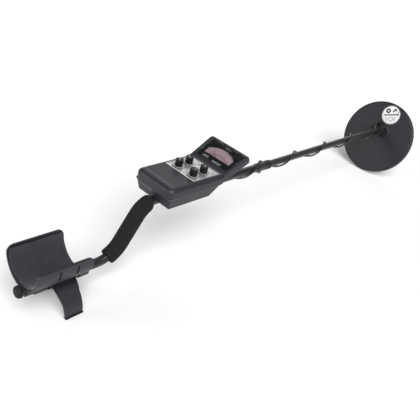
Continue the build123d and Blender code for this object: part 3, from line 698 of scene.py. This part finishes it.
knobShape, pointerShape = buildKnobShape(), buildPointer()
for number, ((x, y), turn) in enumerate(zip(knobDesign["at"], knobDesign["setTo"]), 1):
    seat = stem @ Matrix.Translation((x, y, knobDesign["low"])) @ Matrix.Rotation(math.radians(turn), 4, "Z")
    for shape, name, material, slot in ((knobShape, "knob_%d_grip", knobPlastic, "knob_black"),
                                        (pointerShape, "knob_%d_pointer", whiteInk, "label_white")):
        piece = shape.copy()
        piece.data = shape.data.copy()
        piece.name = piece.data.name = name % number
        bpy.context.scene.collection.objects.link(piece)
        place(piece, seat)
        smooth(piece, 35)
        wear(piece, "knob_%d_body" % number, material)
        if shape is knobShape:
            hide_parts("knob_%d" % number)
for shape in (knobShape, pointerShape):
    bpy.data.objects.remove(shape)
print("knobs made")


# printing: bars, rings and arcs of ink
inkDepth = 0.00006
arcSliver = 0.00002                                    # start of an arc before it is spun


def inkBar(size, at, turn=0.0):
    deselectAll()
    bpy.ops.mesh.primitive_cube_add(size=1, location=(at[0], at[1], inkDepth / 2),
                                    rotation=(0, 0, math.radians(turn)), scale=(size[0], size[1], inkDepth))
    bar = bpy.context.object
    bpy.ops.object.transform_apply()
    return bar


def inkArc(radius, width, start, sweep, at=(0, 0), steps=36):
    deselectAll()
    bpy.ops.mesh.primitive_cube_add(size=1, location=(radius, 0, inkDepth / 2),
                                    scale=(width, arcSliver, inkDepth))
    arc = bpy.context.object
    bpy.ops.object.transform_apply()
    pick(arc, lambda v: v.y > 0, "VERT")
    bpy.ops.mesh.delete(type="VERT")
    bpy.ops.mesh.select_all(action="SELECT")
    bpy.ops.mesh.spin(steps=steps, angle=math.radians(sweep), center=(0, 0, 0), axis=(0, 0, 1))
    if sweep < 360:                                    # close the far end
        bpy.ops.mesh.select_all(action="SELECT")
        bpy.ops.mesh.remove_doubles(threshold=1e-7)
        bpy.ops.mesh.select_non_manifold()
        bpy.ops.mesh.edge_face_add()
    bpy.ops.mesh.select_all(action="SELECT")
    bpy.ops.mesh.remove_doubles(threshold=1e-6)
    bpy.ops.mesh.normals_make_consistent(inside=False)
    backToObject()
    arc.data.transform(Matrix.Translation((at[0], at[1], 0)) @ Matrix.Rotation(math.radians(start), 4, "Z"))
    return arc


def printOn(name, shapes, matrix, body, material):
    for shape in shapes:
        place(shape, Matrix.Identity(4))
    marks = joinAll(shapes, name)
    place(marks, matrix)
    wear(marks, body, material)


# meter card: a curved line with marks on both sides of it, and a thicker line below
scaleDesign = {"centreU": -0.0355, "line": 0.0362, "long": 0.0052, "short": 0.0032, "from": -37, "to": 37,
               "marks": 15, "markWidth": 0.0015, "lineWidth": 0.0018, "lowerDrop": 0.0070,
               "lowerWidth": 0.0022, "innerMark": (0.0026, 0.0014), "innerDrop": 0.0027, "depth": -0.00558}


def printScale():
    design = scaleDesign
    centre = (design["centreU"], 0)
    sweep = design["to"] - design["from"]
    lowerLine = design["line"] - design["lowerDrop"]
    shapes = [inkArc(design["line"], design["lineWidth"], design["from"], sweep, centre),
              inkArc(lowerLine, design["lowerWidth"], design["from"] - 4, sweep + 8, centre)]

    def mark(turn, reach, size):
        at = (centre[0] + reach * math.cos(math.radians(turn)), reach * math.sin(math.radians(turn)))
        shapes.append(inkBar(size, at, turn))

    for k in range(design["marks"]):
        turn = design["from"] + sweep * k / (design["marks"] - 1)
        length = design["long"] if k % 4 == 0 else design["short"]
        mark(turn, design["line"] + length / 2, (length, design["markWidth"]))
        if k % 2 == 0:
            mark(turn, design["line"] - design["innerDrop"], design["innerMark"])
    printOn("meter_scale", shapes, onFace @ Matrix.Translation((0, 0, design["depth"])), "frame_body", redInk)


# mask: light labels under the opening with dark lettering on them, and short lines; each is u, v, high, wide
maskDesign = {"depth": -0.00154, "letterPitch": 0.0046, "letterHigh": 0.45, "letterWide": 0.55,
              "labels": [(-0.0196, -0.0105, 0.0042, 0.0240), (-0.0170, 0.0215, 0.0040, 0.0150)],
              "lines": [(-0.0204, 0.0215, 0.0008, 0.018), (0.0245, 0.0, 0.0018, 0.0095),
                        (0.0238, -0.0088, 0.0012, 0.0060)]}


def printMask():
    design = maskDesign
    seat = onFace @ Matrix.Translation((0, 0, design["depth"]))
    for name, key in (("mask_labels", "labels"), ("mask_lines", "lines")):
        bars = [inkBar((high, wide), (u, v)) for u, v, high, wide in design[key]]
        printOn(name, bars, seat, "frame_body", greyInk)
    letters = []                                       # dark lettering across each label
    for u, v, high, wide in design["labels"]:
        count = int(wide / design["letterPitch"])
        for k in range(count):
            at = v - wide / 2 + wide * (k + 0.5) / count
            size = (high * design["letterHigh"], wide / count * design["letterWide"])
            letters.append(inkBar(size, (u, at)))
    above = seat @ Matrix.Translation((0, 0, inkDepth))
    printOn("mask_letters", letters, above, "frame_body", darkInk)


# control panel: border lines, a scale round each knob with a word behind it, and small print
panelDesign = {"top": 0.04840, "rear": -0.1820, "front": -0.1100, "border": 0.0014, "borderLong": 0.078,
               "borderSide": 0.039, "ring": 0.0104, "ringWidth": 0.0010, "ticks": 8, "tick": (0.0034, 0.0021),
               "tickOut": 0.0016, "behind": 0.0122, "letters": (0.0044, 0.0032, 0.0044),
               "letterHeight": 0.0040, "letterGap": 0.0007, "wordHalf": 0.0066, "noteLine": 0.0016,
               "noteStep": 0.0030,
               "notes": [(-0.151, 0.000), (-0.151, 0.036), (-0.123, -0.034), (-0.1225, 0.006)]}


def printPanel():
    design = panelDesign
    seat = stem @ Matrix.Translation((0, 0, design["top"]))
    middle = (design["rear"] + design["front"]) / 2
    long = design["front"] - design["rear"] - 0.0072
    border = design["border"]
    dark = [inkBar((border, design["borderLong"]), (design["front"] - 0.002, 0))]
    grey = [inkBar((long, border), (middle + 0.0016, side * design["borderSide"])) for side in (1, -1)]
    for x, y in knobDesign["at"]:
        grey.append(inkArc(design["ring"], design["ringWidth"], 40, 280, (x, y), 30))
        for k in range(design["ticks"]):
            turn = math.radians(60 + 34 * k)
            reach = design["ring"] + design["tickOut"]
            dark.append(inkBar(design["tick"], (x + reach * math.cos(turn), y + reach * math.sin(turn)),
                               math.degrees(turn)))
        start = y - design["wordHalf"]
        for length in design["letters"]:
            dark.append(inkBar((design["letterHeight"], length), (x - design["behind"], start + length / 2)))
            start += length + design["letterGap"]
    for x, y in design["notes"]:
        for k in range(3):
            line = (design["noteLine"], 0.0100 - 0.002 * k)
            grey.append(inkBar(line, (x + design["noteStep"] * (k - 1), y)))
    printOn("panel_marks", dark, seat, "frame_body", darkInk)
    printOn("panel_small_print", grey, seat, "frame_body", greyInk)
    light = [inkBar((0.0016, 0.080), (design["rear"] + 0.0012, 0)), inkBar((0.0600, 0.0012), (middle, 0.0))]
    printOn("panel_light_line", light, seat, "frame_body", whiteInk)


# search coil's label: plain icons, a ring and an arrow over a rule, a sunshade under it
labelDesign = {"at": (0.072, -0.008), "top": 0.00636, "turn": -66.0, "edge": 0.0258}


def printCoilLabel():
    design = labelDesign
    seat = (onCoil @ Matrix.Translation((design["at"][0], design["at"][1], design["top"]))
            @ Matrix.Rotation(math.radians(design["turn"]), 4, "Z"))
    ring = inkArc(0.0048, 0.0046, 0, 360, (-0.0085, 0.0125))
    arrow = [inkBar((0.0130, 0.0034), (0.0100, 0.0125), 32), inkBar((0.0074, 0.0060), (0.0128, 0.0142), -10)]
    rule = [inkBar((0.0440, 0.0034), (0, 0.0005)), inkBar((0.0016, 0.0150), (0.0205, 0.0035), -12)]
    shapes = [inkArc(design["edge"], 0.0007, 0, 360, steps=60), ring] + arrow + rule
    for side in (1, -1):                               # a folding sunshade over a stick
        shapes.append(inkBar((0.0130, 0.0012), (0.0052 * side, -0.0095), -50 * side))
    shapes += [inkBar((0.0140, 0.0010), (0, -0.0148)), inkBar((0.0012, 0.0060), (0, -0.0185))]
    for k in range(4):
        shapes.append(inkBar((0.0030, 0.0016), (-0.0155 + 0.0012 * k, -0.0066 - 0.0030 * k), 12 * k))
        shapes.append(inkBar((0.0022, 0.0016), (0.0130 - 0.0010 * k, -0.0066 - 0.0034 * k), -20 * k))
    printOn("coil_label_icons", shapes, seat, "coil_body", darkInk)


printScale()
printMask()
printPanel()
printCoilLabel()
print("printing done")


# headphone socket's metal lining
socketDesign = {"at": (-0.228, 0.0515, 0.017), "bore": 0.0033, "outer": 0.0045, "proud": 0.0004}


def buildSocketRing():
    design = socketDesign
    deselectAll()
    bpy.ops.mesh.primitive_circle_add(vertices=48, radius=(design["outer"] + design["bore"]) / 2,
                                      location=(0, 0, -design["proud"]))
    ring = takeNew("socket_ring")
    bpy.ops.object.transform_apply(location=True)
    pick(ring, lambda v: True, "VERT")
    bpy.ops.mesh.extrude_region_move(TRANSFORM_OT_translate={"value": (0, 0, 2 * design["proud"])})
    backToObject()
    finishWith(ring, "SOLIDIFY", thickness=design["outer"] - design["bore"], offset=0.0)
    pick(ring, lambda centre, normal: True)
    bpy.ops.mesh.normals_make_consistent(inside=False)
    backToObject()
    finishWith(ring, "BEVEL", width=0.00015, segments=2)
    smooth(ring, 40)
    place(ring, stem @ Matrix.Translation(design["at"]) @ Matrix.Rotation(math.radians(90), 4, "X"))
    wear(ring, "frame_body", steel)


buildSocketRing()
print("socket ring made")


# moulded line over the top shell, the finger ledge at its back and the bead round the seam, in a lighter
# plastic that paints the highlight where their edges catch the light
ridgeDesign = {"x": -0.2335, "top": 0.0483, "length": 0.0850, "width": 0.0026, "proud": 0.00035,
               "ledgeAt": (-0.2476, 0.018, 0.0250), "ledgeSize": (0.0026, 0.042, 0.0036),
               "seamFrom": -0.2479, "seamTo": -0.1092, "seamHalfWidth": 0.0499, "seamLow": 0.0276,
               "seamHeight": 0.0012, "seamCorner": 0.0047, "seamWall": 0.0005}


def roundedBar(name, size, at, bevel):
    bar = addBox(name, size, at)
    bpy.ops.object.transform_apply(location=True)
    finishWith(bar, "BEVEL", width=bevel, segments=3)
    smooth(bar, 40)
    place(bar, stem)
    # painted highlight: the bar is lighter to stand for light caught along its edge
    wear(bar, "frame_body", edgeHighlight)


def buildRidges():
    design = ridgeDesign
    roundedBar("top_shell_ridge", (design["width"], design["length"], 2 * design["proud"]),
               (design["x"], 0, design["top"]), 0.00025)
    roundedBar("rear_finger_ledge", design["ledgeSize"], design["ledgeAt"], 0.0008)


def buildSeamBead():
    design = ridgeDesign
    long, wide = design["seamTo"] - design["seamFrom"], 2 * design["seamHalfWidth"]
    deselectAll()
    bpy.ops.mesh.primitive_plane_add(size=1.0)
    bead = takeNew("seam_bead")
    bead.scale = (long, wide, 1)
    bead.location = (design["seamFrom"] + long / 2, 0, design["seamLow"])
    bpy.ops.object.transform_apply(location=True, scale=True)
    pick(bead, lambda v: True, "VERT")
    bpy.ops.mesh.bevel(offset=design["seamCorner"], segments=6, affect="VERTICES")
    bpy.ops.mesh.select_all(action="SELECT")
    bpy.ops.mesh.delete(type="ONLY_FACE")
    bpy.ops.mesh.select_all(action="SELECT")
    bpy.ops.mesh.extrude_region_move(TRANSFORM_OT_translate={"value": (0, 0, design["seamHeight"])})
    backToObject()
    finishWith(bead, "SOLIDIFY", thickness=design["seamWall"], offset=0.0)
    pick(bead, lambda centre, normal: True)
    bpy.ops.mesh.normals_make_consistent(inside=False)
    backToObject()
    finishWith(bead, "BEVEL", width=0.00015, segments=2)
    smooth(bead, 40)
    place(bead, stem)
    # painted highlight: the bead is lighter to stand for light caught along the seam
    wear(bead, "frame_body", edgeHighlight)


buildRidges()
buildSeamBead()
print("moulded ridges made")


# coil spring under the stem's button
springDesign = {"at": (0.082, 0.0, -0.0128), "length": 0.0024, "radius": 0.00385, "wire": 0.0004, "turns": 3,
                "keep": 0.40}


def buildSpring():
    design = springDesign
    rise = (design["length"] - design["wire"]) / design["turns"]
    deselectAll()
    bpy.ops.mesh.primitive_circle_add(vertices=10, radius=design["wire"] / 2, rotation=(math.pi / 2, 0, 0),
                                      location=(design["radius"], 0, design["wire"] / 2))
    spring = takeNew("button_coil_spring")
    bpy.ops.object.transform_apply(location=True, rotation=True)
    finishWith(spring, "SCREW", axis="Z", angle=2 * math.pi, screw_offset=rise, iterations=design["turns"],
               steps=28, render_steps=28)
    pick(spring, lambda v: True, "VERT")
    bpy.ops.mesh.remove_doubles(threshold=1e-7)
    bpy.ops.mesh.select_all(action="DESELECT")
    bpy.ops.mesh.select_non_manifold()
    bpy.ops.mesh.edge_face_add()
    bpy.ops.mesh.select_all(action="SELECT")
    bpy.ops.mesh.normals_make_consistent(inside=False)
    backToObject()
    smooth(spring, 50)
    place(spring, stem @ Matrix.Translation(design["at"]))
    wear(spring, "frame_body", steel)
    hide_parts("button_spring")
    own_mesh(spring)


buildSpring()
print("button spring made")


# foam grip and arm cup pad
gripDesign = {"node": "grip_foam", "name": "grip_cover", "voxel": 0.0026, "pressure": 2.0, "frames": 8,
              "cap": 0.0007, "fill": 1.0, "material": foam, "slot": "foam"}
padDesign = {"node": "arm_cup_pad", "name": "cup_lining", "voxel": 0.0016, "pressure": 1.0, "frames": 8,
             "cap": 0.0004, "fill": 0.9, "material": padCloth, "slot": "pad"}


def softCopy(design):
    source = frame["nodes"][design["node"]]
    soft = source.copy()
    soft.data = source.data.copy()
    soft.parent = None
    soft.name = soft.data.name = design["name"]
    bpy.context.scene.collection.objects.link(soft)
    soft.matrix_world = Matrix.Identity(4)
    makeActive(soft)
    bpy.ops.object.mode_set(mode="EDIT")
    bpy.ops.mesh.select_all(action="SELECT")
    bpy.ops.mesh.remove_doubles(threshold=1e-6)
    backToObject()
    finishWith(soft, "REMESH", mode="VOXEL", voxel_size=design["voxel"], use_smooth_shade=True)
    before = [v.co.copy() for v in soft.data.vertices]
    cloth = soft.modifiers.new("Swell", "CLOTH")
    cloth.settings.use_pressure = True
    cloth.settings.uniform_pressure_force = design["pressure"]
    cloth.settings.effector_weights.gravity = 0
    for step in range(1, design["frames"] + 1):
        bpy.context.scene.frame_set(step)
    makeActive(soft)
    bpy.ops.object.modifier_apply(modifier="Swell")
    bpy.context.scene.frame_set(1)
    for vertex, start in zip(soft.data.vertices, before):   # no point moves further than the cap
        move = vertex.co - start
        if move.length > design["cap"]:
            vertex.co = start + move * (design["cap"] / move.length)
    finishWith(soft, "SMOOTH", factor=0.5, iterations=3)
    finishWith(soft, "SUBSURF", levels=1, render_levels=1)
    bpy.ops.object.shade_smooth()
    wear(soft, "frame_body", design["material"])
    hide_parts(design["node"])


softCopy(gripDesign)
softCopy(padDesign)
print("soft pieces made")
